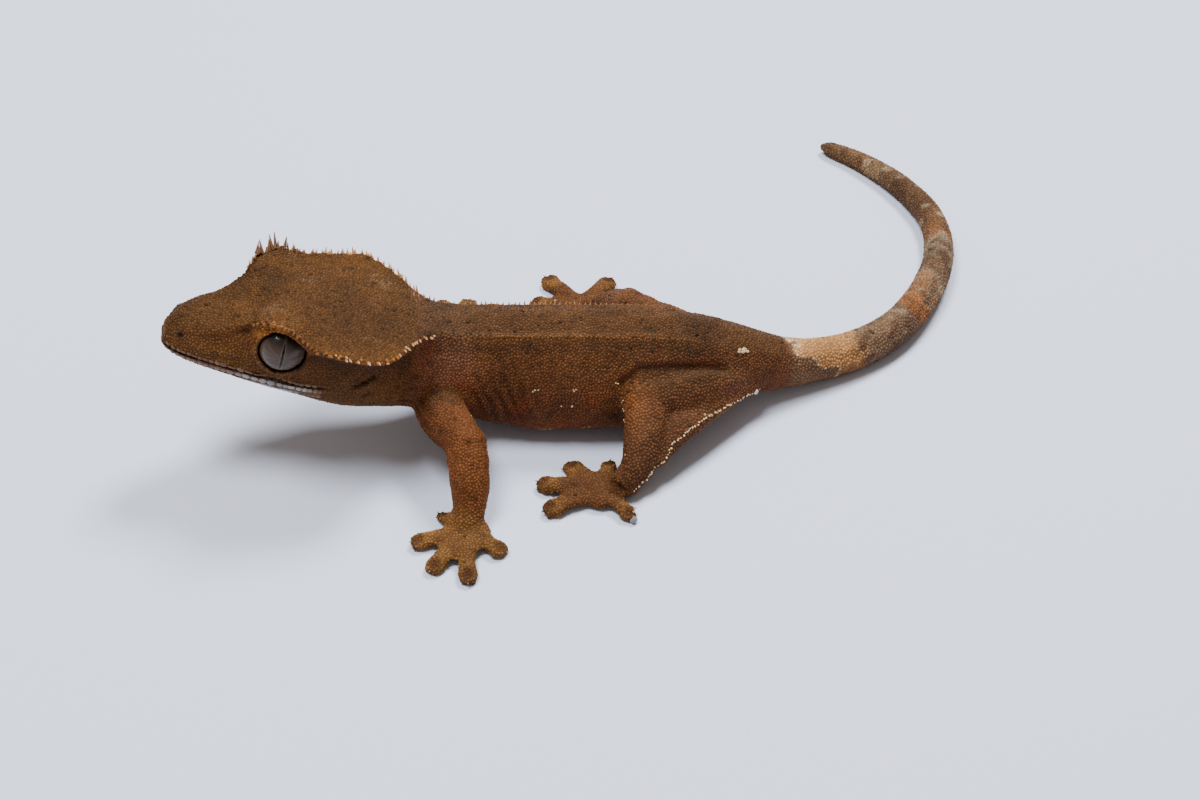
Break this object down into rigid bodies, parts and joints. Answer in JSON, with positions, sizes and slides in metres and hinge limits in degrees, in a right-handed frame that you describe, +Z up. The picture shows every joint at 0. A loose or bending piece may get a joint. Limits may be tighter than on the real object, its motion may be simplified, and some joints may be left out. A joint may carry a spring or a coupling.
{
  "type": "crested gecko",
  "caption": "Life-size still model of a young crested gecko standing on the floor, head raised and turned a little to its left, tail curled round behind.",
  "frame": {"origin": "middle of the underside of the whole model, on the floor", "axes": "+Z up, snout towards -X, the animal's left side towards -Y"},
  "size_m": [0.0928, 0.08, 0.023],
  "materials": {
    "brown_skin": "matt, finely granular skin",
    "foot_skin": "matt, finely granular skin, lighter brown",
    "tail_cream": "matt cream and orange skin",
    "tail_mottled": "matt grey-brown mottled skin",
    "eyes": "wet gloss"
  },
  "bodies": {
    "root": {"head": "brown_skin", "lower_jaw": "brown_skin", "eye_left": "eyes", "eye_right": "eyes", "neck": "brown_skin", "torso": "brown_skin", "hips": "brown_skin", "tail_base": "tail_cream", "tail_front": "tail_mottled", "tail_middle": "tail_mottled", "tail_tip": "tail_mottled", "left_upper_arm": "brown_skin", "left_forearm": "brown_skin", "left_hand": "foot_skin", "left_thigh": "brown_skin", "left_shin": "brown_skin", "left_foot": "foot_skin", "right_upper_arm": "brown_skin", "right_forearm": "brown_skin", "right_hand": "foot_skin", "right_thigh": "brown_skin", "right_shin": "brown_skin", "right_foot": "foot_skin"}
  },
  "joints": []
}
